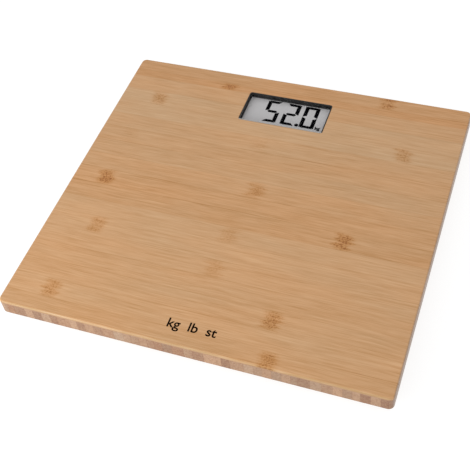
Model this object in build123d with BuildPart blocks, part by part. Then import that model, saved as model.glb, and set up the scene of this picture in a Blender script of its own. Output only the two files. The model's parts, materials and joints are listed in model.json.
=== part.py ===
from build123d import *
import os
from math import atan2, cos, hypot, radians, sin, tan

# Digital bathroom scale: a thick bamboo platform that stands on four load-cell feet,
# with a liquid-crystal display let into its far edge and the electronics in a pocket below.
# X runs to the right, Y towards the display and Z up. The origin is on the floor, under
# the middle of the platform. Millimetres.

os.makedirs("parts", exist_ok=True)

MIDDLE_LOW = (Align.CENTER, Align.CENTER, Align.MIN)

# ---- driving dimensions: platform ----------------------------------------------------
BOARD_W, BOARD_D, BOARD_T = 317.0, 300.0, 15.0
BOARD_Z = 8.0  # height of the underside above the floor
BOARD_TOP = BOARD_Z + BOARD_T
CORNER_R, TOP_EDGE_R, BOTTOM_EDGE_R = 4.5, 1.5, 1.0

# ---- driving dimensions: display window and the module behind it -----------------------
MODULE = (-1.6, 110.5)  # centre of the window and of everything stacked under it
WINDOW_W, WINDOW_D, WINDOW_R = 78.6, 37.2, 2.2
WINDOW_EASE = 0.3  # small chamfer round the top of the window
POCKET_W, POCKET_D, POCKET_R = 98.0, 56.0, 4.0
POCKET_TOP = 19.2

LINER_GAP, LINER_WALL, LENS_LEDGE = 0.1, 0.9, 0.5
LINER_TOP = BOARD_TOP - 0.2
LENS_T, LENS_TOP = 1.5, BOARD_TOP - 1.2
LENS_BOTTOM = LENS_TOP - LENS_T
BEZEL_W, BEZEL_D, BEZEL_R = 96.0, 54.0, 3.0
BEZEL_PLATE_T = 0.8

GLASS_W, GLASS_D, GLASS_T = 84.0, 42.0, 1.05
REAR_GLASS_D = 36.6
GASKET_T, REFLECTOR_T = 0.4, 0.2
GLASS_TOP = POCKET_TOP - BEZEL_PLATE_T - GASKET_T
GLASS_MIDDLE = GLASS_TOP - GLASS_T
GLASS_BOTTOM = GLASS_MIDDLE - GLASS_T

PCB_T, PCB_TOP = 1.2, 13.0
PCB_BOTTOM = PCB_TOP - PCB_T
PCB_HOLE_INSET = 3.0

# ---- driving dimensions: rear case, battery and unit button ----------------------------
CASE_W, CASE_D, CASE_R = 112.0, 70.0, 6.0
CASE_T = 1.6
CASE_BOTTOM = 5.5
CASE_FLOOR = CASE_BOTTOM + CASE_T
FLANGE_BOTTOM = BOARD_Z - CASE_T
CELL_R, CELL_T = 10.0, 3.2
CELL = (MODULE[0] - 20.0, MODULE[1] - 2.5)
CELL_BOTTOM = CASE_FLOOR + 0.2
CELL_TOP = CELL_BOTTOM + CELL_T
WELL_R, WELL_TOP = 10.4, 10.7
DOOR_HALF_W, DOOR_T, DOOR_GAP = 12.0, 1.5, 0.3
DOOR_FRONT = CELL[1] - 12.5
HINGE_Y, HINGE_Z = CELL[1] + 13.2, 6.9
BARREL_R, PIN_R, PIN_CLEARANCE, PIN_LENGTH = 1.3, 0.8, 0.05, 1.6
BUTTON = (MODULE[0] + 25.0, MODULE[1] - 6.0)
BUTTON_R, BUTTON_FLANGE_R, BUTTON_FLANGE_T = 3.9, 5.0, 0.8
BUTTON_BOTTOM, BUTTON_FLANGE_Z = 5.8, 7.3
PLUNGER_R, PLUNGER_TOP = 1.75, 9.2
SWITCH_SIDE, SWITCH_BOTTOM, SWITCH_BORE_TOP = 6.2, 8.7, 9.9

# ---- driving dimensions: feet ------------------------------------------------------------
FOOT_X, FOOT_Y = 114.0, 106.0
FOOT_POCKET_R, FOOT_POCKET_TOP = 28.5, 12.0
BASE_R, BASE_INNER_R, BASE_PLATE_T = 28.0, 26.0, 1.5
RING_BOTTOM, RING_LIP_T, RING_FLANGE_T = 4.2, 1.2, 1.6
RING_R, RING_FLANGE_R, RING_HOLE_R = 30.0, 32.0, 23.3
EAR_R, EAR_DISTANCE = 4.5, 34.0
EAR_TURNS = (60.0, 180.0, 300.0)  # measured from the direction the leads take
LOAD_CELL_SIDE, LOAD_CELL_T, LOAD_CELL_TOP = 34.0, 2.0, 10.5
LOAD_CELL_BOTTOM = LOAD_CELL_TOP - LOAD_CELL_T
CAP_R, CAP_FLANGE_R, CAP_FLANGE_T, CAP_BOTTOM = 22.8, 25.5, 1.2, 1.4
FOOT_DROP, DROP_SPARE = 0.4, 0.1  # how far a cap hangs down when the scale is lifted
BOSS_R, BOSS_GAP = 4.5, 0.05
CAP_FLANGE_Z = RING_BOTTOM + RING_LIP_T + FOOT_DROP + DROP_SPARE
PAD_R, PAD_T, PAD_GAP = 20.5, 2.4, 0.1

# ---- driving dimensions: leads and screws ------------------------------------------------
LEAD_R, LEAD_PITCH, LEAD_Z, LEAD_BEND_R = 0.5, 1.2, 9.1, 1.5
GROOVE_W, GROOVE_TOP = 5.0, 10.2
LEAD_ENTRY = 3.5  # how far inside the pocket the leads turn up to the circuit board
TAPE_ACROSS, TAPE_ALONG, TAPE_T = 14.0, 12.0, 0.15
SCREW_R, SCREW_LENGTH, SCREW_HEAD_R = 1.4, 9.0, 2.9
SCREW_HOLE_R, SCREW_SINK_R = 1.6, 3.0
SINK_HALF_ANGLE = 41.0  # a countersunk head flares this much from its axis
HEAD_HEIGHT = (SCREW_HEAD_R - SCREW_R) / tan(radians(SINK_HALF_ANGLE))
PCB_SCREW_R, PCB_SCREW_TOP, PCB_HEAD_R, PCB_HEAD_T = 0.95, 17.0, 2.0, 1.4
RECESS_LONG, RECESS_WIDE, RECESS_DEEP = 3.2, 0.6, 1.0

# ---- places worked out from the dimensions ------------------------------------------------
pocket_left, pocket_right = MODULE[0] - POCKET_W / 2, MODULE[0] + POCKET_W / 2
pocket_front = MODULE[1] - POCKET_D / 2

# each foot: its centre and the point where its leads come through the pocket wall
feet = {
    "front_left": ((-FOOT_X, -FOOT_Y), (MODULE[0] - 28.0, pocket_front)),
    "front_right": ((FOOT_X, -FOOT_Y), (MODULE[0] + 28.0, pocket_front)),
    "back_left": ((-FOOT_X, FOOT_Y), (pocket_left, FOOT_Y)),
    "back_right": ((FOOT_X, FOOT_Y), (pocket_right, FOOT_Y)),
}


def along(start, end):
    """Unit vector from one plan point to another, and the distance between them."""
    dx, dy = end[0] - start[0], end[1] - start[1]
    span = hypot(dx, dy)
    return (dx / span, dy / span), span


def lead_plane(corner, height):
    """A level plane on a foot's centre whose x axis points the way the leads go."""
    centre, entry = feet[corner]
    (ux, uy), _ = along(centre, entry)
    return Plane(origin=(*centre, height), x_dir=(ux, uy, 0), z_dir=(0, 0, 1))


def module_plane(height):
    """A level plane on the middle of the display window."""
    return Plane.XY.offset(height).move(Location(MODULE))


def ear_centres(corner):
    """Plan points of the three screw ears of one foot ring."""
    centre, entry = feet[corner]
    (ux, uy), _ = along(centre, entry)
    heading = atan2(uy, ux)
    turns = [heading + radians(turn) for turn in EAR_TURNS]
    return [(centre[0] + EAR_DISTANCE * cos(t), centre[1] + EAR_DISTANCE * sin(t)) for t in turns]


foot_screw_points = [point for corner in feet for point in ear_centres(corner)]
case_screw_points = [
    (MODULE[0] + sx * (CASE_W / 2 - 4.0), MODULE[1] + sy * (CASE_D / 2 - 4.0))
    for sx in (-1, 0, 1)
    for sy in (-1, 1)
]
pcb_screw_points = [
    (MODULE[0] + sx * (BEZEL_W / 2 - PCB_HOLE_INSET), MODULE[1] + sy * (BEZEL_D / 2 - PCB_HOLE_INSET))
    for sx in (-1, 1)
    for sy in (-1, 1)
]

# ======================= platform =======================
with BuildPart() as platform_board:
    with BuildSketch(Plane.XY.offset(BOARD_Z)):
        RectangleRounded(BOARD_W, BOARD_D, CORNER_R)
    extrude(amount=BOARD_T)
    fillet(platform_board.edges().group_by(Axis.Z)[-1], TOP_EDGE_R)
    fillet(platform_board.edges().group_by(Axis.Z)[0], BOTTOM_EDGE_R)
    # window, with its top edge just eased
    with BuildSketch(module_plane(BOARD_Z)):
        RectangleRounded(WINDOW_W, WINDOW_D, WINDOW_R)
    extrude(amount=BOARD_T, mode=Mode.SUBTRACT)
    rim = platform_board.faces().sort_by(Axis.Z)[-1].inner_wires()[0].edges()
    chamfer(rim, WINDOW_EASE)
    # pocket for the display module and the electronics, routed from below
    with BuildSketch(module_plane(BOARD_Z)):
        RectangleRounded(POCKET_W, POCKET_D, POCKET_R)
    extrude(amount=POCKET_TOP - BOARD_Z, mode=Mode.SUBTRACT)
    # round pockets for the feet
    with BuildSketch(Plane.XY.offset(BOARD_Z)):
        with Locations([centre for centre, _ in feet.values()]):
            Circle(FOOT_POCKET_R)
    extrude(amount=FOOT_POCKET_TOP - BOARD_Z, mode=Mode.SUBTRACT)
    # a straight groove for the leads from each foot to the middle pocket
    for corner, (centre, entry) in feet.items():
        _, span = along(centre, entry)
        with BuildSketch(lead_plane(corner, BOARD_Z)):
            with Locations((span / 2, 0)):
                Rectangle(span + GROOVE_W, GROOVE_W)
        extrude(amount=GROOVE_TOP - BOARD_Z, mode=Mode.SUBTRACT)
    # pilot holes for the wood screws
    with BuildSketch(Plane.XY.offset(BOARD_Z)):
        with Locations(foot_screw_points + case_screw_points):
            Circle(SCREW_HOLE_R)
    extrude(amount=SCREW_LENGTH, mode=Mode.SUBTRACT)
platform_board.part.label = "platform_board"
export_step(platform_board.part, "parts/platform_board.step")

# ======================= display module =======================
liner_w, liner_d = WINDOW_W - 2 * LINER_GAP, WINDOW_D - 2 * LINER_GAP
lens_w, lens_d = liner_w - 2 * LINER_WALL, liner_d - 2 * LINER_WALL
view_w, view_d = lens_w - 2 * LENS_LEDGE, lens_d - 2 * LENS_LEDGE
plate_bottom = POCKET_TOP - BEZEL_PLATE_T

with BuildPart() as display_bezel:
    # holder frame round the glass, closed above by a thin plate
    with BuildSketch(module_plane(PCB_TOP)):
        RectangleRounded(BEZEL_W, BEZEL_D, BEZEL_R)
    extrude(amount=POCKET_TOP - PCB_TOP)
    with BuildSketch(module_plane(PCB_TOP)):
        Rectangle(GLASS_W + 0.6, GLASS_D + 0.6)
    extrude(amount=plate_bottom - PCB_TOP, mode=Mode.SUBTRACT)
    # liner that stands up in the window
    with BuildSketch(module_plane(POCKET_TOP)):
        RectangleRounded(liner_w, liner_d, WINDOW_R - LINER_GAP)
    extrude(amount=LINER_TOP - POCKET_TOP)
    # seat for the lens, and the opening below it
    with BuildSketch(module_plane(LENS_BOTTOM)):
        RectangleRounded(lens_w, lens_d, WINDOW_R - LINER_WALL)
    extrude(amount=BOARD_TOP - LENS_BOTTOM, mode=Mode.SUBTRACT)
    with BuildSketch(module_plane(plate_bottom)):
        RectangleRounded(view_w, view_d, WINDOW_R - LINER_WALL - LENS_LEDGE)
    extrude(amount=BOARD_TOP - plate_bottom, mode=Mode.SUBTRACT)
    # pilot holes for the circuit board screws
    with BuildSketch(Plane.XY.offset(PCB_TOP)):
        with Locations(pcb_screw_points):
            Circle(PCB_SCREW_R + 0.05)
    extrude(amount=PCB_SCREW_TOP + 0.3 - PCB_TOP, mode=Mode.SUBTRACT)
display_bezel.part.label = "display_bezel"
export_step(display_bezel.part, "parts/display_bezel.step")

with BuildPart() as display_lens:
    with BuildSketch(module_plane(LENS_BOTTOM)):
        RectangleRounded(lens_w - 0.1, lens_d - 0.1, WINDOW_R - LINER_WALL - 0.05)
    extrude(amount=LENS_T)
    chamfer(display_lens.edges().group_by(Axis.Z)[-1], 0.25)
display_lens.part.label = "display_lens"
export_step(display_lens.part, "parts/display_lens.step")

with BuildPart() as display_gasket:
    with BuildSketch(module_plane(GLASS_TOP)):
        Rectangle(GLASS_W - 1.0, GLASS_D - 1.0)
        Rectangle(view_w + 0.8, view_d + 0.8, mode=Mode.SUBTRACT)
    extrude(amount=GASKET_T)
display_gasket.part.label = "display_gasket"
export_step(display_gasket.part, "parts/display_gasket.step")

with BuildPart() as lcd_front_glass:
    with BuildSketch(module_plane(GLASS_MIDDLE)):
        Rectangle(GLASS_W, GLASS_D)
    extrude(amount=GLASS_T)
lcd_front_glass.part.label = "lcd_front_glass"
export_step(lcd_front_glass.part, "parts/lcd_front_glass.step")

with BuildPart() as lcd_rear_glass:
    with BuildSketch(module_plane(GLASS_BOTTOM)):
        Rectangle(GLASS_W, REAR_GLASS_D)
    extrude(amount=GLASS_T)
lcd_rear_glass.part.label = "lcd_rear_glass"
export_step(lcd_rear_glass.part, "parts/lcd_rear_glass.step")

with BuildPart() as lcd_reflector:
    with BuildSketch(module_plane(GLASS_BOTTOM - REFLECTOR_T)):
        Rectangle(GLASS_W - 2.0, REAR_GLASS_D - 0.6)
    extrude(amount=REFLECTOR_T)
lcd_reflector.part.label = "lcd_reflector"
export_step(lcd_reflector.part, "parts/lcd_reflector.step")

# rubber strips that carry the signals from the circuit board up to the front glass
with BuildPart() as zebra_strips:
    with BuildSketch(module_plane(PCB_TOP)):
        with GridLocations(0, GLASS_D - 2.6, 1, 2):
            Rectangle(70.0, 1.6)
    extrude(amount=GLASS_MIDDLE - PCB_TOP)
zebra_strips.part.label = "zebra_strips"
export_step(zebra_strips.part, "parts/zebra_strips.step")

# ======================= circuit board =======================
with BuildPart() as circuit_board:
    with BuildSketch(module_plane(PCB_BOTTOM)):
        RectangleRounded(BEZEL_W, BEZEL_D, BEZEL_R)
    extrude(amount=PCB_T)
    with BuildSketch(Plane.XY.offset(PCB_BOTTOM)):
        with Locations(pcb_screw_points):
            Circle(PCB_SCREW_R + 0.15)
    extrude(amount=PCB_T, mode=Mode.SUBTRACT)
circuit_board.part.label = "circuit_board"
export_step(circuit_board.part, "parts/circuit_board.step")

BLOB = (MODULE[0] + 6.0, MODULE[1] + 12.0)
with BuildPart() as processor_blob:
    with BuildSketch(Plane.XY.offset(PCB_BOTTOM - 1.4)):
        with Locations(BLOB):
            Circle(6.0)
    extrude(amount=1.4)
    fillet(processor_blob.edges().group_by(Axis.Z)[0], 1.2)
processor_blob.part.label = "processor_blob"
export_step(processor_blob.part, "parts/processor_blob.step")

CRYSTAL_R, CRYSTAL_LENGTH = 1.0, 6.0
with BuildPart() as clock_crystal:
    with BuildSketch(Plane.YZ.offset(BLOB[0] + 9.0)):
        with Locations((BLOB[1] - 2.0, PCB_BOTTOM - CRYSTAL_R)):
            Circle(CRYSTAL_R)
    extrude(amount=CRYSTAL_LENGTH)
clock_crystal.part.label = "clock_crystal"
export_step(clock_crystal.part, "parts/clock_crystal.step")

with BuildPart() as chip_parts:
    with BuildSketch(module_plane(PCB_BOTTOM - 0.6)):
        with Locations((5.0, -8.0)):
            with GridLocations(3.4, 3.0, 4, 3):
                Rectangle(1.6, 0.8)
        with Locations((26.0, 16.0)):
            with GridLocations(3.0, 3.2, 3, 2):
                Rectangle(0.8, 1.6)
    extrude(amount=0.6)
chip_parts.part.label = "chip_parts"
export_step(chip_parts.part, "parts/chip_parts.step")

with BuildPart() as pcb_screws:
    with Locations([(x, y, PCB_BOTTOM - PCB_HEAD_T) for x, y in pcb_screw_points]):
        Cylinder(PCB_HEAD_R, PCB_HEAD_T, align=MIDDLE_LOW)
        Cylinder(PCB_SCREW_R, PCB_SCREW_TOP - PCB_BOTTOM + PCB_HEAD_T, align=MIDDLE_LOW)
        Box(RECESS_LONG - 0.6, RECESS_WIDE, 0.7, align=MIDDLE_LOW, mode=Mode.SUBTRACT)
        Box(RECESS_WIDE, RECESS_LONG - 0.6, 0.7, align=MIDDLE_LOW, mode=Mode.SUBTRACT)
pcb_screws.part.label = "pcb_screws"
export_step(pcb_screws.part, "parts/pcb_screws.step")

# ======================= battery =======================
with BuildPart() as coin_cell:
    with BuildSketch(Plane.XY.offset(CELL_BOTTOM)):
        with Locations(CELL):
            Circle(CELL_R)
    extrude(amount=CELL_T - 0.5)
    fillet(coin_cell.edges().group_by(Axis.Z)[0], 0.3)
    with BuildSketch(Plane.XY.offset(CELL_TOP - 0.5)):
        with Locations(CELL):
            Circle(CELL_R - 1.2)
    extrude(amount=0.5)
coin_cell.part.label = "coin_cell"
export_step(coin_cell.part, "parts/coin_cell.step")

LEAF_T, PLUS_W, MINUS_W = 0.3, 4.0, 5.0
# positive contact: an angle that hangs from the circuit board against the cell's side
with BuildPart() as battery_contact_plus:
    with BuildSketch(Plane.XZ.offset(-CELL[1])):
        with BuildLine():
            Polyline(
                (CELL[0] + CELL_R, CELL_BOTTOM + 0.9),
                (CELL[0] + CELL_R + LEAF_T, CELL_BOTTOM + 0.9),
                (CELL[0] + CELL_R + LEAF_T, PCB_BOTTOM - LEAF_T),
                (CELL[0] + CELL_R + 4.0, PCB_BOTTOM - LEAF_T),
                (CELL[0] + CELL_R + 4.0, PCB_BOTTOM),
                (CELL[0] + CELL_R, PCB_BOTTOM),
                close=True,
            )
        make_face()
    extrude(amount=PLUS_W / 2, both=True)
battery_contact_plus.part.label = "battery_contact_plus"
export_step(battery_contact_plus.part, "parts/battery_contact_plus.step")

# negative contact: a leaf spring that slants down to the middle of the cell
with BuildPart() as battery_contact_minus:
    with BuildSketch(Plane.XZ.offset(-CELL[1])):
        with BuildLine():
            Polyline(
                (CELL[0] + 6.0, PCB_BOTTOM),
                (CELL[0] + 3.0, PCB_BOTTOM),
                (CELL[0] - 4.0, CELL_TOP + LEAF_T),
                (CELL[0] - 6.0, CELL_TOP + 2 * LEAF_T),
                (CELL[0] - 6.0, CELL_TOP + LEAF_T),
                (CELL[0] - 4.0, CELL_TOP),
                (CELL[0] + 3.0, PCB_BOTTOM - LEAF_T),
                (CELL[0] + 6.0, PCB_BOTTOM - LEAF_T),
                close=True,
            )
        make_face()
    extrude(amount=MINUS_W / 2, both=True)
battery_contact_minus.part.label = "battery_contact_minus"
export_step(battery_contact_minus.part, "parts/battery_contact_minus.step")

# ======================= rear case =======================
door_middle_y = (DOOR_FRONT + HINGE_Y) / 2
bay_half_w = DOOR_HALF_W + DOOR_GAP
bay_front, bay_back = DOOR_FRONT - DOOR_GAP, HINGE_Y + BARREL_R + 0.5
holder_front, holder_back = bay_front - 2.2, bay_back + 2.2

with BuildPart() as rear_case:
    # flange that lies on the board, and the shallow tray in its middle
    with BuildSketch(module_plane(FLANGE_BOTTOM)):
        RectangleRounded(CASE_W, CASE_D, CASE_R)
    extrude(amount=CASE_T)
    with BuildSketch(module_plane(CASE_BOTTOM)):
        RectangleRounded(POCKET_W, POCKET_D, POCKET_R)
    extrude(amount=CASE_T)
    chamfer(rear_case.edges().group_by(Axis.Z)[0], 0.5)
    with BuildSketch(module_plane(CASE_FLOOR)):
        RectangleRounded(POCKET_W - 3.0, POCKET_D - 3.0, POCKET_R - 1.5)
    extrude(amount=BOARD_Z - CASE_FLOOR, mode=Mode.SUBTRACT)
    # posts that press the circuit board and the display frame up into the pocket
    with BuildSketch(module_plane(CASE_FLOOR)):
        with GridLocations(72.0, 44.0, 2, 2):
            Circle(2.5)
    extrude(amount=PCB_BOTTOM - CASE_FLOOR)
    # cell holder with its round well
    with BuildSketch(Plane.XY.offset(CASE_FLOOR)):
        with Locations((CELL[0], (holder_front + holder_back) / 2)):
            Rectangle(2 * bay_half_w + 6.4, holder_back - holder_front)
    extrude(amount=WELL_TOP - CASE_FLOOR)
    with BuildSketch(Plane.XY.offset(CASE_FLOOR)):
        with Locations(CELL):
            Circle(WELL_R)
        with Locations((CELL[0] + CELL_R + 0.4, CELL[1])):
            Rectangle(1.6, PLUS_W + 1.0)
    extrude(amount=WELL_TOP - CASE_FLOOR, mode=Mode.SUBTRACT)
    # bay for the door, and the trough in which its hinge barrel turns
    with BuildSketch(Plane.XY.offset(CASE_BOTTOM)):
        with Locations((CELL[0], (bay_front + bay_back) / 2)):
            Rectangle(2 * bay_half_w, bay_back - bay_front)
    extrude(amount=DOOR_T + 0.2, mode=Mode.SUBTRACT)
    with BuildSketch(Plane.XY.offset(CASE_BOTTOM)):
        with Locations((CELL[0], HINGE_Y)):
            Rectangle(2 * bay_half_w, 2 * BARREL_R + 1.0)
    extrude(amount=HINGE_Z + BARREL_R + 0.4 - CASE_BOTTOM, mode=Mode.SUBTRACT)
    # bearings for the hinge pins
    with Locations(Location((CELL[0], HINGE_Y, HINGE_Z), (0, 90, 0))):
        Cylinder(
            PIN_R + PIN_CLEARANCE, 2 * (DOOR_HALF_W + PIN_LENGTH + 0.2), mode=Mode.SUBTRACT
        )
    # shallow scoop for a fingertip beside the door
    with BuildSketch(Plane.XY.offset(CASE_BOTTOM)):
        with Locations((CELL[0], bay_front - 1.0)):
            Ellipse(6.0, 4.0)
    extrude(amount=0.8, mode=Mode.SUBTRACT)
    # unit button: its hole and a guide ring
    with BuildSketch(Plane.XY.offset(CASE_FLOOR)):
        with Locations(BUTTON):
            Circle(BUTTON_FLANGE_R + 1.4)
            Circle(BUTTON_FLANGE_R + 0.4, mode=Mode.SUBTRACT)
    extrude(amount=1.3)
    with BuildSketch(Plane.XY.offset(CASE_BOTTOM)):
        with Locations(BUTTON):
            Circle(BUTTON_R + 0.3)
    extrude(amount=CASE_T, mode=Mode.SUBTRACT)
    # countersunk holes in the flange
    with Locations([Location((x, y, FLANGE_BOTTOM), (180, 0, 0)) for x, y in case_screw_points]):
        CounterSinkHole(SCREW_HOLE_R, SCREW_SINK_R, depth=CASE_T)
rear_case.part.label = "rear_case"
export_step(rear_case.part, "parts/rear_case.step")

with BuildPart() as battery_door:
    with BuildSketch(Plane.XY.offset(CASE_BOTTOM)):
        with Locations((CELL[0], door_middle_y)):
            Rectangle(2 * DOOR_HALF_W, HINGE_Y - DOOR_FRONT)
    extrude(amount=DOOR_T)
    # hinge barrel and its two pins
    with Locations(Location((CELL[0], HINGE_Y, HINGE_Z), (0, 90, 0))):
        Cylinder(BARREL_R, 2 * DOOR_HALF_W)
        Cylinder(PIN_R, 2 * (DOOR_HALF_W + PIN_LENGTH))
    # slits that free the snap tongue, and three grip lines across it
    with BuildSketch(Plane.XY.offset(CASE_BOTTOM)):
        with Locations((CELL[0], DOOR_FRONT + 3.0)):
            with GridLocations(9.0, 0, 2, 1):
                Rectangle(0.7, 6.0)
    extrude(amount=DOOR_T, mode=Mode.SUBTRACT)
    with BuildSketch(Plane.XY.offset(CASE_BOTTOM)):
        with Locations((CELL[0], DOOR_FRONT + 4.0)):
            with GridLocations(0, 1.6, 1, 3):
                Rectangle(6.0, 0.6)
    extrude(amount=0.4, mode=Mode.SUBTRACT)
battery_door.part.label = "battery_door"
export_step(battery_door.part, "parts/battery_door.step")

# ======================= unit button and its switch =======================
with BuildPart() as unit_button:
    with BuildSketch(Plane.XY.offset(BUTTON_BOTTOM)):
        with Locations(BUTTON):
            Circle(BUTTON_R)
    extrude(amount=BUTTON_FLANGE_Z - BUTTON_BOTTOM)
    fillet(unit_button.edges().group_by(Axis.Z)[0], 0.4)
    with BuildSketch(Plane.XY.offset(BUTTON_FLANGE_Z)):
        with Locations(BUTTON):
            Circle(BUTTON_FLANGE_R)
    extrude(amount=BUTTON_FLANGE_T)
unit_button.part.label = "unit_button"
export_step(unit_button.part, "parts/unit_button.step")

plunger_bottom = BUTTON_FLANGE_Z + BUTTON_FLANGE_T
with BuildPart() as switch_plunger:
    with BuildSketch(Plane.XY.offset(plunger_bottom)):
        with Locations(BUTTON):
            Circle(PLUNGER_R)
    extrude(amount=PLUNGER_TOP - plunger_bottom)
switch_plunger.part.label = "switch_plunger"
export_step(switch_plunger.part, "parts/switch_plunger.step")

with BuildPart() as unit_switch:
    with BuildSketch(Plane.XY.offset(SWITCH_BOTTOM)):
        with Locations(BUTTON):
            RectangleRounded(SWITCH_SIDE, SWITCH_SIDE, 0.6)
    extrude(amount=PCB_BOTTOM - SWITCH_BOTTOM)
    with BuildSketch(Plane.XY.offset(SWITCH_BOTTOM)):
        with Locations(BUTTON):
            Circle(PLUNGER_R + 0.05)
    extrude(amount=SWITCH_BORE_TOP - SWITCH_BOTTOM, mode=Mode.SUBTRACT)
unit_switch.part.label = "unit_switch"
export_step(unit_switch.part, "parts/unit_switch.step")

# ======================= feet =======================
RELIEF = (26.0, 24.0)  # opening over the tongue of the load cell
hook_y = LOAD_CELL_SIDE / 2 + 0.15
cap_boss_top = LOAD_CELL_BOTTOM - BOSS_GAP


def foot_ring_body(corner):
    """One retaining ring: flange with ears on the board, wall, and the lip under the cap."""
    with BuildPart() as ring:
        with BuildSketch(lead_plane(corner, BOARD_Z - RING_FLANGE_T)):
            Circle(RING_FLANGE_R)
            with PolarLocations(EAR_DISTANCE, 3, start_angle=EAR_TURNS[0]):
                Circle(EAR_R)
        extrude(amount=RING_FLANGE_T)
        with BuildSketch(lead_plane(corner, RING_BOTTOM)):
            Circle(RING_R)
        extrude(amount=BOARD_Z - RING_FLANGE_T - RING_BOTTOM)
        chamfer(ring.edges().group_by(Axis.Z)[0], 0.5)
        with BuildSketch(lead_plane(corner, RING_BOTTOM + RING_LIP_T)):
            Circle(BASE_R + 0.1)
        extrude(amount=BOARD_Z, mode=Mode.SUBTRACT)
        with BuildSketch(lead_plane(corner, RING_BOTTOM)):
            Circle(RING_HOLE_R)
        extrude(amount=BOARD_Z, mode=Mode.SUBTRACT)
        holes = [Location((x, y, BOARD_Z - RING_FLANGE_T), (180, 0, 0)) for x, y in ear_centres(corner)]
        with Locations(holes):
            CounterSinkHole(SCREW_HOLE_R, SCREW_SINK_R, depth=RING_FLANGE_T)
    return ring.part


for corner, (centre, entry) in feet.items():
    # base: an inverted cup in the board's pocket, which holds the load cell against its plate
    with BuildPart() as foot_base:
        with BuildSketch(lead_plane(corner, RING_BOTTOM + RING_LIP_T)):
            Circle(BASE_R)
        extrude(amount=FOOT_POCKET_TOP - RING_BOTTOM - RING_LIP_T)
        with BuildSketch(lead_plane(corner, RING_BOTTOM + RING_LIP_T)):
            Circle(BASE_INNER_R)
        extrude(amount=LOAD_CELL_TOP - RING_BOTTOM - RING_LIP_T, mode=Mode.SUBTRACT)
        with BuildSketch(lead_plane(corner, LOAD_CELL_TOP)):
            Rectangle(*RELIEF)
        extrude(amount=BASE_PLATE_T, mode=Mode.SUBTRACT)
        # ribs that centre the load cell, and the two snap hooks that hold it up
        with BuildSketch(lead_plane(corner, LOAD_CELL_BOTTOM)):
            with GridLocations(LOAD_CELL_SIDE + 0.3 + 1.4, 22.0, 2, 2):
                Rectangle(1.4, 6.0)
        extrude(amount=LOAD_CELL_T)
        with BuildSketch(lead_plane(corner, LOAD_CELL_BOTTOM - 0.9)):
            with GridLocations(0, 2 * hook_y + 1.5, 1, 2):
                Rectangle(8.0, 1.5)
        extrude(amount=LOAD_CELL_T + 0.9)
        with BuildSketch(lead_plane(corner, LOAD_CELL_BOTTOM - 0.9)):
            with GridLocations(0, 2 * hook_y - 0.7, 1, 2):
                Rectangle(8.0, 0.75)
        extrude(amount=0.9)
        # notch for the leads
        with BuildSketch(lead_plane(corner, BOARD_Z)):
            with Locations(((BASE_R + BASE_INNER_R) / 2, 0)):
                Rectangle(4.0, GROOVE_W)
        extrude(amount=LOAD_CELL_TOP - BOARD_Z, mode=Mode.SUBTRACT)
    foot_base.part.label = f"foot_base_{corner}"
    export_step(foot_base.part, f"parts/foot_base_{corner}.step")

    # load cell: a stamped steel plate whose U-shaped slot frees a tongue in the middle
    with BuildPart() as load_cell:
        with BuildSketch(lead_plane(corner, LOAD_CELL_BOTTOM)):
            RectangleRounded(LOAD_CELL_SIDE, LOAD_CELL_SIDE, 2.0)
            with Locations((1.0, 0)):
                Rectangle(22.0, 22.0, mode=Mode.SUBTRACT)
            with Locations((-1.0, 0)):
                Rectangle(22.0, 18.0)
        extrude(amount=LOAD_CELL_T)
        with BuildSketch(lead_plane(corner, LOAD_CELL_BOTTOM)):
            with GridLocations(28.0, 28.0, 2, 2):
                Circle(1.3)
        extrude(amount=LOAD_CELL_T, mode=Mode.SUBTRACT)
    load_cell.part.label = f"load_cell_{corner}"
    export_step(load_cell.part, f"parts/load_cell_{corner}.step")

    foot_ring = foot_ring_body(corner)
    foot_ring.label = f"foot_ring_{corner}"
    export_step(foot_ring, f"parts/foot_ring_{corner}.step")

    # cap: the round plunger that carries the pad and pushes the tongue of the load cell
    with BuildPart() as foot_cap:
        with BuildSketch(lead_plane(corner, CAP_BOTTOM)):
            Circle(CAP_R)
        extrude(amount=CAP_FLANGE_Z - CAP_BOTTOM)
        fillet(foot_cap.edges().group_by(Axis.Z)[0], 0.6)
        with BuildSketch(lead_plane(corner, CAP_FLANGE_Z)):
            Circle(CAP_FLANGE_R)
        extrude(amount=CAP_FLANGE_T)
        with BuildSketch(lead_plane(corner, PAD_T + 1.4)):
            Circle(CAP_R - 2.4)
            Circle(7.0, mode=Mode.SUBTRACT)
            with PolarLocations(12.0, 6):
                Rectangle(20.0, 1.4, mode=Mode.SUBTRACT)
        extrude(amount=CAP_FLANGE_Z + CAP_FLANGE_T - PAD_T - 1.4, mode=Mode.SUBTRACT)
        with BuildSketch(lead_plane(corner, CAP_FLANGE_Z + CAP_FLANGE_T)):
            Circle(BOSS_R)
        extrude(amount=cap_boss_top - CAP_FLANGE_Z - CAP_FLANGE_T)
        with BuildSketch(lead_plane(corner, CAP_BOTTOM)):
            Circle(PAD_R + PAD_GAP)
        extrude(amount=PAD_T - CAP_BOTTOM, mode=Mode.SUBTRACT)
    foot_cap.part.label = f"foot_cap_{corner}"
    export_step(foot_cap.part, f"parts/foot_cap_{corner}.step")

    # rubber pad with two ring grooves in its sole
    with BuildPart() as foot_pad:
        with BuildSketch(lead_plane(corner, 0)):
            Circle(PAD_R)
        extrude(amount=PAD_T)
        fillet(foot_pad.edges().group_by(Axis.Z)[0], 0.4)
        for groove_r in (10.0, 15.5):
            with BuildSketch(lead_plane(corner, 0)):
                Circle(groove_r + 0.9)
                Circle(groove_r - 0.9, mode=Mode.SUBTRACT)
            extrude(amount=0.7, mode=Mode.SUBTRACT)
    foot_pad.part.label = f"foot_pad_{corner}"
    export_step(foot_pad.part, f"parts/foot_pad_{corner}.step")

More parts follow.
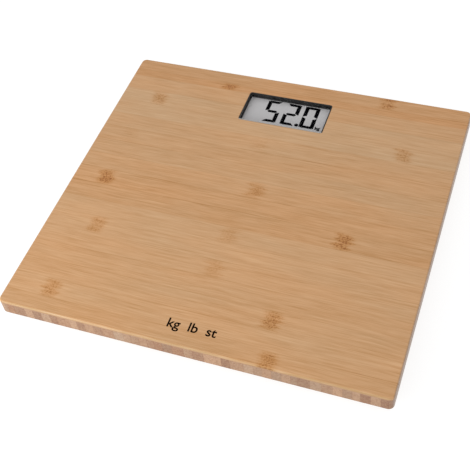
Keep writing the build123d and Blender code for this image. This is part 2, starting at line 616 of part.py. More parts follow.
# strain gauges bonded on the root of each tongue, in the relief over the load cell
with BuildPart() as strain_gauges:
    for corner in feet:
        with BuildSketch(lead_plane(corner, LOAD_CELL_TOP)):
            with Locations((-8.0, 0)):
                Rectangle(7.0, 5.0)
        extrude(amount=0.2)
strain_gauges.part.label = "strain_gauges"
export_step(strain_gauges.part, "parts/strain_gauges.step")

# ======================= leads =======================
LEAD_COLOURS = {"red_leads": LEAD_PITCH, "black_leads": 0.0, "white_leads": -LEAD_PITCH}
LEAD_START = LOAD_CELL_SIDE / 2 + 0.2
smallest_run = min(along(*ends)[1] for ends in feet.values())
print("lead bend radius", LEAD_BEND_R, "shortest lead", round(smallest_run, 1))

for lead_name, side in LEAD_COLOURS.items():
    with BuildPart() as leads:
        for corner, (centre, entry) in feet.items():
            _, span = along(centre, entry)
            route = lead_plane(corner, LEAD_Z)
            turn = span + LEAD_ENTRY
            start, bend, end = (
                route.from_local_coords((x, side, z))
                for x, z in ((LEAD_START, 0), (turn, 0), (turn, PCB_BOTTOM - LEAD_Z))
            )
            with BuildLine() as path:
                FilletPolyline(start, bend, end, radius=LEAD_BEND_R)
            with BuildSketch(Plane(origin=start, z_dir=route.x_dir)):
                Circle(LEAD_R)
            sweep(path=path.wires()[0])
    leads.part.label = lead_name
    export_step(leads.part, f"parts/{lead_name}.step")

# adhesive tapes that hold the leads in their grooves
with BuildPart() as lead_tapes:
    for corner, (centre, entry) in feet.items():
        _, span = along(centre, entry)
        clear_start, clear_end = RING_FLANGE_R + TAPE_ALONG, span - TAPE_ALONG
        count = 1 if span < 100 else 3
        with BuildSketch(lead_plane(corner, BOARD_Z - TAPE_T)):
            for step in range(count):
                with Locations((clear_start + (clear_end - clear_start) * (step + 0.5) / count, 0)):
                    Rectangle(TAPE_ALONG, TAPE_ACROSS)
        extrude(amount=TAPE_T)
lead_tapes.part.label = "lead_tapes"
export_step(lead_tapes.part, "parts/lead_tapes.step")

# ======================= wood screws =======================
for screws_name, points in (("foot_screws", foot_screw_points), ("case_screws", case_screw_points)):
    with BuildPart() as wood_screws:
        with Locations([(x, y, FLANGE_BOTTOM) for x, y in points]):
            Cylinder(SCREW_R, SCREW_LENGTH, align=MIDDLE_LOW)
            Cone(SCREW_HEAD_R, SCREW_R, HEAD_HEIGHT, align=MIDDLE_LOW)
            Box(RECESS_LONG, RECESS_WIDE, RECESS_DEEP, align=MIDDLE_LOW, mode=Mode.SUBTRACT)
            Box(RECESS_WIDE, RECESS_LONG, RECESS_DEEP, align=MIDDLE_LOW, mode=Mode.SUBTRACT)
    wood_screws.part.label = screws_name
    export_step(wood_screws.part, f"parts/{screws_name}.step")
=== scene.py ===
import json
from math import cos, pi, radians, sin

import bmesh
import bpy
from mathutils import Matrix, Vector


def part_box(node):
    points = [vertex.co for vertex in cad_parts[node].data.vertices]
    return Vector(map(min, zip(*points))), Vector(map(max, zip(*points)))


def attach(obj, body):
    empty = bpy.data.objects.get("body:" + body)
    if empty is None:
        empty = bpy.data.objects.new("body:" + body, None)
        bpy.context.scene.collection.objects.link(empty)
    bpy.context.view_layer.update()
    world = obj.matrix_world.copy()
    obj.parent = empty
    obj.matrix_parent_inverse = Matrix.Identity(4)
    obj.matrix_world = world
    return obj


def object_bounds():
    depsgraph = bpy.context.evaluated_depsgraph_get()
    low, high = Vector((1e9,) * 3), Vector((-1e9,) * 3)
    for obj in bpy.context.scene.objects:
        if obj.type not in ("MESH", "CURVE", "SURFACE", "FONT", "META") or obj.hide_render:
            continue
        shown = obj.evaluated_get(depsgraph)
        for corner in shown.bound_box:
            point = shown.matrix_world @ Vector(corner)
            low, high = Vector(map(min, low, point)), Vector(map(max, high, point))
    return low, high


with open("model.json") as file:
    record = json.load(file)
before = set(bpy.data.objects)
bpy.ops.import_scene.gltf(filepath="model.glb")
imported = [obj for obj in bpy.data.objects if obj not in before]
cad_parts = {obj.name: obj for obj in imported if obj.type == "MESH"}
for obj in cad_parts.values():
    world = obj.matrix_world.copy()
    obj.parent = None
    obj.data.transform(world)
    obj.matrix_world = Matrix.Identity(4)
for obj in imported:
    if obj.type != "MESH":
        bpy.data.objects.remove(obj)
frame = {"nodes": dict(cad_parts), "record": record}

# %% [markdown]
# # A bamboo bathroom scale
# The scale is a thick bamboo board on four small feet, with a liquid-crystal display let
# into the board near its far edge. The parts already stand in place when the frame is
# loaded, so this lesson gives each part its finish, adds the pieces that only need to be
# seen (the digits, the printed signs, the label, the tread of the rubber pads) and sets up
# the studio.
#
# All lengths are metres, and patterns are worked out in millimetres. Each step says what
# the real thing is, how it could be made, and why this way was chosen.

scene = bpy.context.scene
nodes = frame["nodes"]
cad_low, cad_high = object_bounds()
MM = 0.001
overall = [round(v / MM, 1) for v in cad_high - cad_low]
print("loaded", len(nodes), "parts; overall size in mm:", overall)

# %% [markdown]
# ## A few helpers for shader trees
# A shader is a graph of small operations. Written out link by link it is long and hard to
# read, so these helpers each add one node, plug in sockets or plain numbers, and hand back
# the output socket. A material then reads like a formula.

# %% Helpers for arithmetic in a tree
def plug(tree, socket, value):
    """Link a socket to another one, or set it to a plain value."""
    if isinstance(value, bpy.types.NodeSocket):
        tree.links.new(value, socket)
    else:
        socket.default_value = value


def calc(tree, operation, *values):
    """One step of arithmetic."""
    node = tree.nodes.new("ShaderNodeMath")
    node.operation = operation
    for socket, value in zip(node.inputs, values):
        plug(tree, socket, value)
    return node.outputs[0]


def total(tree, first, *rest):
    for term in rest:
        first = calc(tree, "ADD", first, term)
    return first


def times(tree, first, *rest):
    for factor in rest:
        first = calc(tree, "MULTIPLY", first, factor)
    return first


def minus(tree, first, second):
    return calc(tree, "SUBTRACT", first, second)


def size_of(tree, value):
    return calc(tree, "ABSOLUTE", value)


def spread(tree, value, from_low, from_high, to_low=0.0, to_high=1.0):
    """Map one range smoothly onto another, and hold the ends."""
    node = tree.nodes.new("ShaderNodeMapRange")
    node.interpolation_type = "SMOOTHSTEP"
    for socket, item in zip(node.inputs, (value, from_low, from_high, to_low, to_high)):
        plug(tree, socket, item)
    return node.outputs[0]


print("helpers for arithmetic ready")


# %% Helpers for points and patterns
def combine(tree, x, y, z):
    node = tree.nodes.new("ShaderNodeCombineXYZ")
    for socket, value in zip(node.inputs, (x, y, z)):
        plug(tree, socket, value)
    return node.outputs[0]


def split_axes(tree, place):
    node = tree.nodes.new("ShaderNodeSeparateXYZ")
    tree.links.new(place, node.inputs[0])
    return node.outputs[0], node.outputs[1], node.outputs[2]


def scale_vector(tree, vector, factor):
    node = tree.nodes.new("ShaderNodeVectorMath")
    node.operation = "SCALE"
    tree.links.new(vector, node.inputs[0])
    plug(tree, node.inputs["Scale"], factor)
    return node.outputs[0]


def noise(tree, vector, scale=1.0, detail=2.0, roughness=0.5):
    node = tree.nodes.new("ShaderNodeTexNoise")
    plug(tree, node.inputs["Vector"], vector)
    node.inputs["Scale"].default_value = scale
    node.inputs["Detail"].default_value = detail
    node.inputs["Roughness"].default_value = roughness
    return node.outputs["Fac"]


print("helpers for patterns ready")


# %% Helpers for colour and relief
def ramp(tree, factor, stops, held=False):
    """A colour ramp from (position, (r, g, b)) stops; held keeps each colour until the next."""
    node = tree.nodes.new("ShaderNodeValToRGB")
    band = node.color_ramp
    band.interpolation = "CONSTANT" if held else "LINEAR"
    while len(band.elements) < len(stops):
        band.elements.new(1.0)
    for element, (position, colour) in zip(band.elements, stops):
        element.position = position
        element.color = (*colour, 1.0)[:4]
    plug(tree, node.inputs[0], factor)
    return node.outputs[0]


def blend_colour(tree, factor, first, second):
    """Mix two colours, each given as a socket or as (r, g, b)."""
    node = tree.nodes.new("ShaderNodeMix")
    node.data_type = "RGBA"
    plug(tree, node.inputs["Factor"], factor)
    for socket, colour in zip((node.inputs[6], node.inputs[7]), (first, second)):
        plug(tree, socket, colour if isinstance(colour, bpy.types.NodeSocket) else (*colour, 1.0))
    return node.outputs[2]


def raise_bump(tree, shader, height, distance, strength):
    node = tree.nodes.new("ShaderNodeBump")
    node.inputs["Distance"].default_value = distance
    node.inputs["Strength"].default_value = strength
    plug(tree, node.inputs["Height"], height)
    tree.links.new(node.outputs[0], shader.inputs["Normal"])


def new_finish(name, roughness=0.5, metallic=0.0, **sockets):
    """A fresh material: its tree, its Principled shader and its place in millimetres."""
    material = bpy.data.materials.new(name)
    material.use_nodes = True
    tree = material.node_tree
    shader = tree.nodes["Principled BSDF"]
    shader.inputs["Roughness"].default_value = roughness
    shader.inputs["Metallic"].default_value = metallic
    for socket, value in sockets.items():
        shader.inputs[socket.replace("_", " ")].default_value = value
    place = tree.nodes.new("ShaderNodeTexCoord").outputs["Object"]
    return material, tree, shader, scale_vector(tree, place, 1.0 / MM)


print("helpers for colour ready")

# %% [markdown]
# ## Bamboo
# The board is glued from two layers. The top layer, 2.6 mm thick, is made of strips 17.5 mm
# wide that run from left to right. The thick layer under it has its strips the other way,
# so the near and far edges show their sawn ends as a row of blocks.
#
# A flat picture of wood would break at every edge. A solid pattern doesn't: each point of
# the board looks up which strip it is in and how far along the fibres it is, so the sides,
# the window walls and the underside all show the grain that a saw would show.
#
# Bamboo has no year rings. What the eye reads as bamboo is a tone for each strip, long thin
# fibres, and one knuckle now and then: the dark, speckled band where a stem had its joint.
# So everything is added up into one number, the tone, and a ramp for each layer turns the
# tone into colour. A second number, the redness, then warms some places and cools others.

# %% Sizes of the layers, and the strips of the top layer
board_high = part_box("platform_board")[1] / MM
TOP_LAYER = 2.6
STRIP_W, FIRST_SEAM, LAST_SEAM = 17.5, -136.0, 135.0
BLOCK_W = 7.5
NO_KNUCKLE = (240, 0.0)

# From the near edge to the far one: how much lighter the strip is than the others, how much
# redder, where its knuckle lies from left to right, and how strong the knuckle is.
STRIPS = [
    (-0.045, 0.0, 64, 0.75),
    (0.0, 0.0, -122, 0.8),
    (-0.015, 0.0, 56, 0.9),
    (-0.008, 0.01, *NO_KNUCKLE),
    (0.015, 0.0, -2, 0.4),
    (0.03, 0.0, -114, 0.7),
    (0.03, -0.01, -4, 0.4),
    (-0.053, 0.02, 87, 1.0),
    (-0.045, 0.03, -130, 1.0),
    (-0.008, 0.02, 2, 0.6),
    (0.008, -0.02, *NO_KNUCKLE),
    (-0.015, 0.0, -130, 0.15),
    (0.015, -0.01, -10, 0.2),
    (0.06, -0.04, 111, 0.75),
    (0.068, -0.045, -122, 0.75),
    (0.022, 0.0, *NO_KNUCKLE),
    (-0.09, 0.07, -62, 1.0),
    (-0.06, 0.04, 85, 0.95),
]
with_knuckle = sum(strength > 0 for *_, strength in STRIPS)
print(len(STRIPS), "strips,", with_knuckle, "of them with a knuckle")

# %% Colours of the two layers, from darkest fibre to lightest
TOP_COLOURS = [
    (0.0, (0.28, 0.105, 0.018)),
    (0.2, (0.44, 0.212, 0.062)),
    (0.5, (0.590, 0.328, 0.152)),
    (0.8, (0.70, 0.430, 0.225)),
    (1.0, (0.78, 0.54, 0.33)),
]
CORE_COLOURS = [
    (0.0, (0.15, 0.055, 0.020)),
    (0.25, (0.235, 0.112, 0.056)),
    (0.5, (0.300, 0.174, 0.098)),
    (1.0, (0.47, 0.31, 0.20)),
]
# The sawn faces take little lacquer, and look drier than the top. On the sides the greyer,
# paler colour is partly a painted sheen, the pale reflection these faces show at a glancing angle.
DRY_FRONT = (0.31, 0.185, 0.105)
DRY_SIDE_SHEEN_COLOURS = [
    (0.15, (0.28, 0.195, 0.145)),
    (0.50, (0.40, 0.29, 0.23)),
    (0.80, (0.50, 0.375, 0.30)),
]
DRYNESS = 0.8
print(len(TOP_COLOURS), "colours for the top and", len(CORE_COLOURS), "for the core")


# %% Long fibres, shared by both layers
def fibres(tree, along, across, height, seed):
    """Streaks along the fibres at three scales, as a tone around zero, and the finest of them.

    Stretch and pitch say how many streaks there are in a millimetre, along and across.
    """
    def streak(stretch, pitch, amount, detail):
        point = combine(
            tree, times(tree, along, stretch), times(tree, across, pitch),
            calc(tree, "MULTIPLY_ADD", height, pitch, seed),
        )
        centred = minus(tree, noise(tree, point, detail=detail, roughness=0.6), 0.5)
        return times(tree, centred, amount)

    broad = streak(0.006, 0.12, 0.10, 1.0)
    medium = streak(0.022, 0.60, 0.48, 3.0)
    fine = streak(0.05, 1.7, 0.66, 3.0)
    return total(tree, broad, medium, fine), fine


def fibre_shift(tree, x, y, seed, near):
    """How far the fibres wander sideways: slowly everywhere, and in a bend past a knuckle."""
    slow = noise(tree, combine(tree, times(tree, x, 0.012), seed, 0.0), detail=1.0)
    wobble = noise(tree, combine(tree, times(tree, x, 0.05), y, seed), scale=0.35)
    wander = times(tree, minus(tree, slow, 0.5), 3.0)
    bend = times(tree, near, minus(tree, wobble, 0.5), 5.0)
    return total(tree, wander, bend)


print("fibres ready")

# %% What is known of each strip
KNUCKLE_SPAN = 500.0


def strip_number(tree, y, steps):
    """The strip that a point is in, counted from the near edge; the last starts at LAST_SEAM."""
    last = len(STRIPS) - 1.0
    number = total(tree, calc(tree, "FLOOR", steps), 1.0)
    number = calc(tree, "MINIMUM", calc(tree, "MAXIMUM", number, 0.0), last - 1.0)
    behind = calc(tree, "GREATER_THAN", y, LAST_SEAM)
    return calc(tree, "MINIMUM", total(tree, number, behind), last)


def strip_facts(tree, number):
    """A strip's tone, the place and the strength of its knuckle, and its redness.

    One ramp with a held stop for each strip keeps all four, as red, green, blue and alpha.
    """
    count = len(STRIPS)
    stops = [
        (i / count, (0.5 + tone, 0.5 + knuckle / KNUCKLE_SPAN, strength, 0.5 + redness))
        for i, (tone, redness, knuckle, strength) in enumerate(STRIPS)
    ]
    position = calc(tree, "DIVIDE", total(tree, number, 0.5), count)
    known = ramp(tree, position, stops, held=True)
    facts = tree.nodes.new("ShaderNodeSeparateColor")
    tree.links.new(known, facts.inputs[0])
    tone = minus(tree, facts.outputs[0], 0.5)
    knuckle_x = times(tree, minus(tree, facts.outputs[1], 0.5), KNUCKLE_SPAN)
    redness = minus(tree, known.node.outputs["Alpha"], 0.5)
    return tone, knuckle_x, facts.outputs[2], redness


print("one ramp will hold", len(STRIPS), "strips")


# %% Knuckles and glue seams
def knuckle_band(tree, x, y, side, from_knuckle, near, strength, seed):
    """A soft band across the strip, with a frayed edge and small dark specks.

    Gives the band itself and how much darker it makes the wood.
    """
    fray = noise(tree, combine(tree, 0.0, y, seed), scale=0.28)
    off = total(tree, from_knuckle, times(tree, minus(tree, fray, 0.5), 19.0))
    band = times(tree, spread(tree, size_of(tree, off), 2.0, 10.0, 1.0, 0.0), strength)
    band = times(tree, band, spread(tree, side, 0.0, 4.0, 0.4, 1.0))
    speck_point = combine(tree, times(tree, x, 0.8), y, seed)
    specks = noise(tree, speck_point, scale=0.75, detail=3.0, roughness=0.7)
    dark_specks = times(tree, band, spread(tree, specks, 0.44, 0.64), 0.36)
    pale_halo = times(tree, near, strength, -0.03)
    return band, total(tree, times(tree, band, 0.22), pale_halo, dark_specks)


def to_seam(tree, y, steps):
    """How far a point is from the nearest glue seam."""
    part = calc(tree, "FRACT", steps)
    side = times(tree, calc(tree, "MINIMUM", part, minus(tree, 1.0, part)), STRIP_W)
    return calc(tree, "MINIMUM", side, size_of(tree, minus(tree, y, LAST_SEAM)))


def glue_seams(tree, x, side, seed):
    """A hairline, darker in some stretches than in others."""
    hairline = spread(tree, side, 0.12, 0.65, 1.0, 0.0)
    stretch_point = combine(tree, times(tree, x, 0.011), times(tree, seed, 1.7), 0.0)
    stretch = noise(tree, stretch_point, detail=1.0)
    return times(tree, hairline, spread(tree, stretch, 0.38, 0.66, 0.02, 0.16))


print("knuckles and seams ready")


# %% The top layer
def top_layer(tree, x, y, z):
    """The strips from left to right: their tone, the height of their relief, their redness."""
    steps = calc(tree, "DIVIDE", minus(tree, y, FIRST_SEAM), STRIP_W)
    number = strip_number(tree, y, steps)
    strip_tone, knuckle_x, strength, redness = strip_facts(tree, number)
    seed = times(tree, number, 7.31)
    side = to_seam(tree, y, steps)
    from_knuckle = minus(tree, x, knuckle_x)
    # one at the knuckle, and fading out over some 30 mm on both sides
    near = calc(tree, "EXPONENT", times(tree, from_knuckle, from_knuckle, -0.0022))
    shifted = total(tree, y, fibre_shift(tree, x, y, seed, near))
    streaks, fine = fibres(tree, x, shifted, z, seed)
    band, knuckle = knuckle_band(tree, x, y, side, from_knuckle, near, strength, seed)

    # thin dark bundles of fibre
    bundle_point = combine(
        tree, times(tree, x, 0.05), times(tree, shifted, 1.9),
        calc(tree, "MULTIPLY_ADD", z, 1.9, seed),
    )
    bundles = spread(tree, noise(tree, bundle_point, detail=1.0), 0.60, 0.74)

    # broad redder and paler patches, and a redder knuckle
    patches = noise(tree, combine(tree, times(tree, x, 0.012), times(tree, y, 0.045), 3.0))
    redness = calc(tree, "MULTIPLY_ADD", minus(tree, patches, 0.51), 0.15, redness)
    redness = calc(tree, "MULTIPLY_ADD", band, 0.08, redness)

    darker = total(tree, knuckle, glue_seams(tree, x, side, seed), times(tree, bundles, 0.07))
    tone = minus(tree, total(tree, 0.5, strip_tone, streaks), darker)
    relief = minus(tree, times(tree, fine, 2.0), times(tree, darker, 1.2))
    return tone, relief, redness


print("top layer ready")


# %% The thick layer below: strips the other way, and their sawn ends
def cells_along(tree, x, feature):
    """Cells of uneven width along one axis."""
    node = tree.nodes.new("ShaderNodeTexVoronoi")
    node.voronoi_dimensions = "1D"
    node.feature = feature
    node.inputs["Scale"].default_value = 1.0 / BLOCK_W
    tree.links.new(x, node.inputs["W"])
    return node.outputs


def core_layer(tree, x, y, z):
    """The tone of the strips that run from the near edge to the far one, and their redness."""
    chance = tree.nodes.new("ShaderNodeSeparateColor")
    tree.links.new(cells_along(tree, x, "F1")["Color"], chance.inputs[0])
    block = times(tree, minus(tree, chance.outputs[0], 0.5), 0.36)
    blush = times(tree, minus(tree, chance.outputs[2], 0.35), 0.12)
    streaks = fibres(tree, y, x, z, times(tree, chance.outputs[1], 50.0))[0]
    to_edge = cells_along(tree, x, "DISTANCE_TO_EDGE")["Distance"]
    seam = spread(tree, to_edge, 0.01, 0.06, 0.14, 0.0)
    pore_point = combine(tree, x, times(tree, y, 0.05), z)
    pores = spread(tree, noise(tree, pore_point, scale=0.7, detail=3.0), 0.48, 0.66)
    darker = total(tree, seam, times(tree, pores, 0.20))
    return minus(tree, total(tree, 0.54, block, streaks), darker), blush


print("core ready, in blocks of about", BLOCK_W, "mm")

# %% Tone and redness of the whole board
bamboo, tree, shader, place = new_finish("bamboo", roughness=0.42)
x, y, z = split_axes(tree, place)
top_tone, relief, redness = top_layer(tree, x, y, z)
core_tone, blush = core_layer(tree, x, y, z)
layer_seam = board_high.z - TOP_LAYER
is_top = calc(tree, "GREATER_THAN", z, layer_seam)
from_glue = size_of(tree, minus(tree, z, layer_seam))
glue = spread(tree, from_glue, 0.05, 0.3, 0.10, 0.0)

# where the surface turns down, at the near and far edges and at the sides
past_front = spread(tree, size_of(tree, y), board_high.y - 1.3, board_high.y - 0.2)
past_side = spread(tree, size_of(tree, x), board_high.x - 1.2, board_high.x - 0.1)
rounded = spread(tree, z, board_high.z - 1.8, board_high.z - 1.2)
below = minus(tree, 1.0, rounded)
round_edge = times(tree, past_front, rounded)

# painted shade and sheen: the rounded edge and the upright faces of the top layer are made
# darker, to tone down the light they catch, and the rounded edge is made less red, a painted sheen
EDGE_SHADE_TONE, EDGE_SHEEN_REDNESS = -0.12, -0.16
upright = times(tree, below, calc(tree, "MAXIMUM", past_front, past_side))
painted_edge_shade = total(tree, round_edge, upright, past_side)
top_tone = calc(tree, "MULTIPLY_ADD", painted_edge_shade, EDGE_SHADE_TONE, top_tone)
redness = calc(tree, "MULTIPLY_ADD", round_edge, EDGE_SHEEN_REDNESS, redness)
redness = calc(tree, "MULTIPLY_ADD", minus(tree, redness, blush), is_top, blush)
print("layers meet", round(layer_seam, 1), "mm above the floor")

# %% Colour of the board: both layers, a glue line between them, and the dry sawn faces
top_colour = ramp(tree, minus(tree, top_tone, glue), TOP_COLOURS)
core_colour = ramp(tree, minus(tree, core_tone, glue), CORE_COLOURS)
warm = combine(
    tree, calc(tree, "MULTIPLY_ADD", redness, 0.9, 1.0), 1.0,
    calc(tree, "MULTIPLY_ADD", redness, -0.9, 1.0),
)
warmed = tree.nodes.new("ShaderNodeVectorMath")
warmed.operation = "MULTIPLY"
tree.links.new(blend_colour(tree, is_top, core_colour, top_colour), warmed.inputs[0])
tree.links.new(warm, warmed.inputs[1])

dry_front = times(tree, past_front, below, is_top, DRYNESS)
colour = blend_colour(tree, dry_front, warmed.outputs[0], DRY_FRONT)
side_tone = calc(tree, "MULTIPLY_ADD", minus(tree, top_tone, core_tone), is_top, core_tone)
side_tone = minus(tree, side_tone, times(tree, glue, 3.0))
# partly painted sheen: the sides take a greyer, paler colour
dry_side_and_sheen = ramp(tree, side_tone, DRY_SIDE_SHEEN_COLOURS)
colour = blend_colour(tree, times(tree, past_side, DRYNESS), colour, dry_side_and_sheen)
tree.links.new(colour, shader.inputs["Base Color"])

# satin lacquer, a little duller over dark fibres, which stand a hair lower
gloss = spread(tree, top_tone, 0.25, 0.75, 0.50, 0.38)
tree.links.new(gloss, shader.inputs["Roughness"])
raise_bump(tree, shader, relief, 0.05 * MM, 0.6)
print("bamboo:", len(tree.nodes), "shader nodes")

# %% [markdown]
# ## Moulded plastics, rubber and metal
# Everything under the board is moulded or stamped. A moulded part is never one flat colour:
# the mould leaves a fine matte grain, and the material has faint clouds. One function makes
# such a finish from a colour, a grain size and a gloss, and each real material calls it once.

# %% One recipe for moulded and one for stamped parts
def moulded(name, colour, roughness, grain=1.6, depth=0.02, clouds=0.06, **sockets):
    """A plastic or rubber: faint clouds in its colour and a fine grain from the mould."""
    material, tree, shader, place = new_finish(name, roughness, **sockets)
    cloud = noise(tree, place, scale=0.11, detail=3.0)
    low, high = ([c * (1 + side * clouds) for c in colour] for side in (-1, 1))
    tree.links.new(ramp(tree, cloud, [(0.3, low), (0.7, high)]), shader.inputs["Base Color"])
    fine = noise(tree, place, scale=grain, detail=2.0)
    gloss = spread(tree, fine, 0.3, 0.7, roughness - 0.05, roughness + 0.07)
    tree.links.new(gloss, shader.inputs["Roughness"])
    raise_bump(tree, shader, fine, depth * MM, 0.5)
    return material


def metal(name, colour, roughness, brushed=(0.4, 6.0, 6.0)):
    """A metal with fine lines from rolling, longest along the axis that is scaled least."""
    material, tree, shader, place = new_finish(name, roughness, metallic=1.0)
    mapping = tree.nodes.new("ShaderNodeMapping")
    mapping.inputs["Scale"].default_value = brushed
    tree.links.new(place, mapping.inputs["Vector"])
    lines = noise(tree, mapping.outputs[0], scale=1.0, detail=2.0)
    dark = [c * 0.86 for c in colour]
    tree.links.new(ramp(tree, lines, [(0.3, dark), (0.7, colour)]), shader.inputs["Base Color"])
    gloss = spread(tree, lines, 0.3, 0.7, roughness + 0.08, roughness - 0.05)
    tree.links.new(gloss, shader.inputs["Roughness"])
    raise_bump(tree, shader, lines, 0.01 * MM, 0.4)
    return material


print("recipes ready")

# %% Finishes of the plastics, the rubber and the foam
finish = {
    "bamboo": bamboo,
    "black_plastic": moulded("black_plastic", (0.016, 0.015, 0.016), 0.48),
    "black_foam": moulded("black_foam", (0.02, 0.02, 0.02), 0.95, grain=3.0, depth=0.1),
    "reflector_film": moulded("reflector_film", (0.42, 0.43, 0.41), 0.35),
    "zebra_rubber": moulded("zebra_rubber", (0.28, 0.07, 0.05), 0.6),
    "white_plastic": moulded("white_plastic", (0.72, 0.715, 0.69), 0.46, grain=2.2),
    "grey_plastic": moulded("grey_plastic", (0.16, 0.17, 0.18), 0.5),
    "grey_rubber": moulded(
        "grey_rubber", (0.085, 0.087, 0.09), 0.82, grain=2.6, depth=0.05, clouds=0.12
    ),
    "red_insulation": moulded("red_insulation", (0.55, 0.02, 0.015), 0.42, grain=0.9),
    "black_insulation": moulded("black_insulation", (0.015, 0.015, 0.015), 0.42, grain=0.9),
    "white_insulation": moulded("white_insulation", (0.75, 0.75, 0.72), 0.42, grain=0.9),
    "clear_tape": moulded("clear_tape", (0.55, 0.36, 0.12), 0.3, grain=0.4, clouds=0.15),
}
print(len(finish), "finishes so far")

# %% Finishes of the circuit board, its parts and the metals
finish["circuit_laminate"] = moulded("circuit_laminate", (0.012, 0.11, 0.045), 0.35, grain=0.8)
finish["black_epoxy"] = moulded("black_epoxy", (0.01, 0.01, 0.01), 0.25, grain=0.5)
finish["chip_ceramic"] = moulded("chip_ceramic", (0.42, 0.30, 0.19), 0.55)
finish["gauge_film"] = moulded("gauge_film", (0.50, 0.22, 0.03), 0.35)
finish["bright_steel"] = metal("bright_steel", (0.62, 0.62, 0.61), 0.28)
finish["cell_steel"] = metal("cell_steel", (0.50, 0.50, 0.50), 0.38, brushed=(5.0, 0.5, 5.0))
finish["spring_metal"] = metal("spring_metal", (0.78, 0.66, 0.42), 0.3)
print(len(finish), "finishes so far")

# %% [markdown]
# ## Lens and display glass
# The lens is a clear plate. A thin pale line along its near edge, just below the wood, is a
# painted highlight: the material makes that edge paler and denser. Real refraction would need
# many samples to come out clean at this depth, and a plate this thin bends almost nothing.
# So the plate is simply thin in the alpha channel, and its near edge, with the painted
# highlight, is denser.
#
# The display glass is covered with a polarising film, and what one sees is the silvery
# film behind it: a flat light grey with a soft, slightly cool sheen.

# %% Clear lens with a painted highlight along its near edge
lens_low, lens_high = (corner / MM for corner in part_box("display_lens"))
LENS_RIM = 0.35
clear_lens, tree, shader, place = new_finish("clear_acrylic", roughness=0.06)
# painted highlight: the near edge of the lens is made paler and denser, standing in for light caught
# there
from_edge = minus(tree, split_axes(tree, place)[1], lens_low.y)
rim = spread(tree, from_edge, LENS_RIM * 0.6, LENS_RIM, 1.0, 0.0)
rim_highlight_mottle = noise(tree, place, scale=1.4, detail=2.0)
painted_rim_highlight = ramp(tree, rim_highlight_mottle, [(0.3, (0.20, 0.20, 0.19)), (0.7, (0.42, 0.42, 0.40))])
lens_colour = blend_colour(tree, rim, (0.10, 0.11, 0.11), painted_rim_highlight)
tree.links.new(lens_colour, shader.inputs["Base Color"])
tree.links.new(spread(tree, rim, 0.0, 1.0, 0.01, 0.6), shader.inputs["Alpha"])
tree.links.new(spread(tree, rim, 0.0, 1.0, 0.06, 0.5), shader.inputs["Roughness"])
finish["clear_acrylic"] = clear_lens
print("lens", [round(v, 1) for v in lens_high - lens_low], "mm, frosted edge", LENS_RIM, "mm")

# %% Display glass
lcd_glass, tree, shader, place = new_finish("lcd_glass", roughness=0.22, Specular_IOR_Level=0.35)
haze = noise(tree, place, scale=0.02, detail=1.0)
glass_colour = ramp(tree, haze, [(0.3, (0.525, 0.515, 0.52)), (0.7, (0.575, 0.56, 0.565))])
tree.links.new(glass_colour, shader.inputs["Base Color"])
finish["lcd_glass"] = lcd_glass
display_ink = moulded(
    "display_ink", (0.002, 0.002, 0.003), 0.6, clouds=0.02, Specular_IOR_Level=0.0
)
print("display glass and ink ready")

# %% Black liner, with a painted highlight along the top of its near wall
liner_finish, tree, shader, place = new_finish("liner_black", roughness=0.5)
_, y, z = split_axes(tree, place)
near_wall = calc(tree, "LESS_THAN", y, lens_low.y + 0.2)
near_top = calc(tree, "GREATER_THAN", z, lens_high.z + 0.7)
# painted highlight: the top of the near wall is coloured light grey, standing in for the light it
# catches
painted_highlight = times(tree, near_wall, near_top)
liner_colour = blend_colour(tree, painted_highlight, (0.012, 0.011, 0.011), (0.42, 0.40, 0.38))
tree.links.new(liner_colour, shader.inputs["Base Color"])
raise_bump(tree, shader, noise(tree, place, scale=1.6, detail=2.0), 0.02 * MM, 0.5)
print("liner ready")

# %% Put every finish on its parts
slot_of = {part["node"]: part["material_slot"] for part in frame["record"]["subparts"]}
for name, part in nodes.items():
    part.data.materials.clear()
    part.data.materials.append(finish[slot_of[name]])
nodes["display_bezel"].data.materials[0] = liner_finish
print("finished", len(nodes), "parts in", len(set(slot_of.values())), "materials")

# %% [markdown]
# ## From a tree of geometry nodes to a plain piece
# What repeats or follows a rule is made by geometry nodes: the bars of the digits, and the
# tread of the rubber pads. A tree has named inputs for its sizes, so it can be tried with
# other values. At the end its result is copied into a plain mesh that needs no modifier.

# %% Helpers for geometry trees
def new_tree(name, **inputs):
    """An empty geometry tree with a geometry input, number inputs and a geometry output."""
    tree = bpy.data.node_groups.new(name, "GeometryNodeTree")
    tree.interface.new_socket("Geometry", in_out="INPUT", socket_type="NodeSocketGeometry")
    for label, value in inputs.items():
        kind = "NodeSocketInt" if isinstance(value, int) else "NodeSocketFloat"
        socket = tree.interface.new_socket(label.replace("_", " "), in_out="INPUT", socket_type=kind)
        socket.default_value = value
    tree.interface.new_socket("Geometry", in_out="OUTPUT", socket_type="NodeSocketGeometry")
    return tree, tree.nodes.new("NodeGroupInput").outputs


def add(tree, kind, settings=None, **sockets):
    """Add one geometry node, with its settings and its sockets by name, and give its first output."""
    node = tree.nodes.new("GeometryNode" + kind)
    for key, value in (settings or {}).items():
        setattr(node, key, value)
    for label, value in sockets.items():
        plug(tree, node.inputs[label.replace("_", " ")], value)
    return node.outputs[0]


def label_with(tree, geometry, name, value, data_type="FLOAT"):
    """Write a value on every point, so that later nodes can read it by name."""
    settings = {"data_type": data_type, "domain": "POINT"}
    return add(tree, "StoreNamedAttribute", settings, Geometry=geometry, Name=name, Value=value)


def read_label(tree, name, data_type="FLOAT"):
    return add(tree, "InputNamedAttribute", {"data_type": data_type}, Name=name)


def join(tree, *parts):
    node = tree.nodes.new("GeometryNodeJoinGeometry")
    for part in parts:
        tree.links.new(part, node.inputs[0])
    return node.outputs[0]


